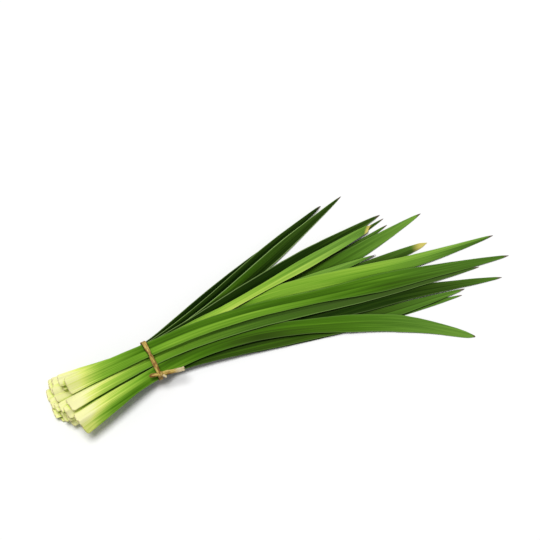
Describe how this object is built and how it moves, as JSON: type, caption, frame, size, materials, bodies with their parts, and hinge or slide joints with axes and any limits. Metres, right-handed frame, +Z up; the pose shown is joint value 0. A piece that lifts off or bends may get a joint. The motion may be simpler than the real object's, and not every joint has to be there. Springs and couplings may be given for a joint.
{
  "type": "tied bunch of pandan leaves",
  "caption": "Bunch of long fresh-cut pandan leaves lying flat, pale cut bases together and tips fanned out, held by a dried leaf strip knotted round it.",
  "frame": {"origin": "middle of the underside of the whole bunch's bounding box, on the surface it lies on", "axes": "+X along the bunch from the cut bases to the tips, +Z up"},
  "size_m": [0.477, 0.1892, 0.0339],
  "materials": {
    "leaf_dark": "satin deep green leaf, pale at its cut base",
    "leaf_green": "satin mid-green leaf, pale at its cut base",
    "leaf_bright": "satin yellow-green leaf, pale at its cut base",
    "tie_strip": "matt dried leaf strip, fibrous"
  },
  "bodies": {
    "root": {"leaf_01": "leaf_dark", "leaf_02": "leaf_dark", "leaf_03": "leaf_dark", "leaf_04": "leaf_dark", "leaf_05": "leaf_green", "leaf_06": "leaf_dark", "leaf_07": "leaf_dark", "leaf_08": "leaf_green", "leaf_09": "leaf_green", "leaf_10": "leaf_green", "leaf_11": "leaf_dark", "leaf_12": "leaf_dark", "leaf_13": "leaf_green", "leaf_14": "leaf_green", "leaf_15": "leaf_bright", "leaf_16": "leaf_bright", "leaf_17": "leaf_green", "leaf_18": "leaf_bright", "leaf_19": "leaf_green", "leaf_20": "leaf_bright", "tie": "tie_strip"}
  },
  "joints": []
}
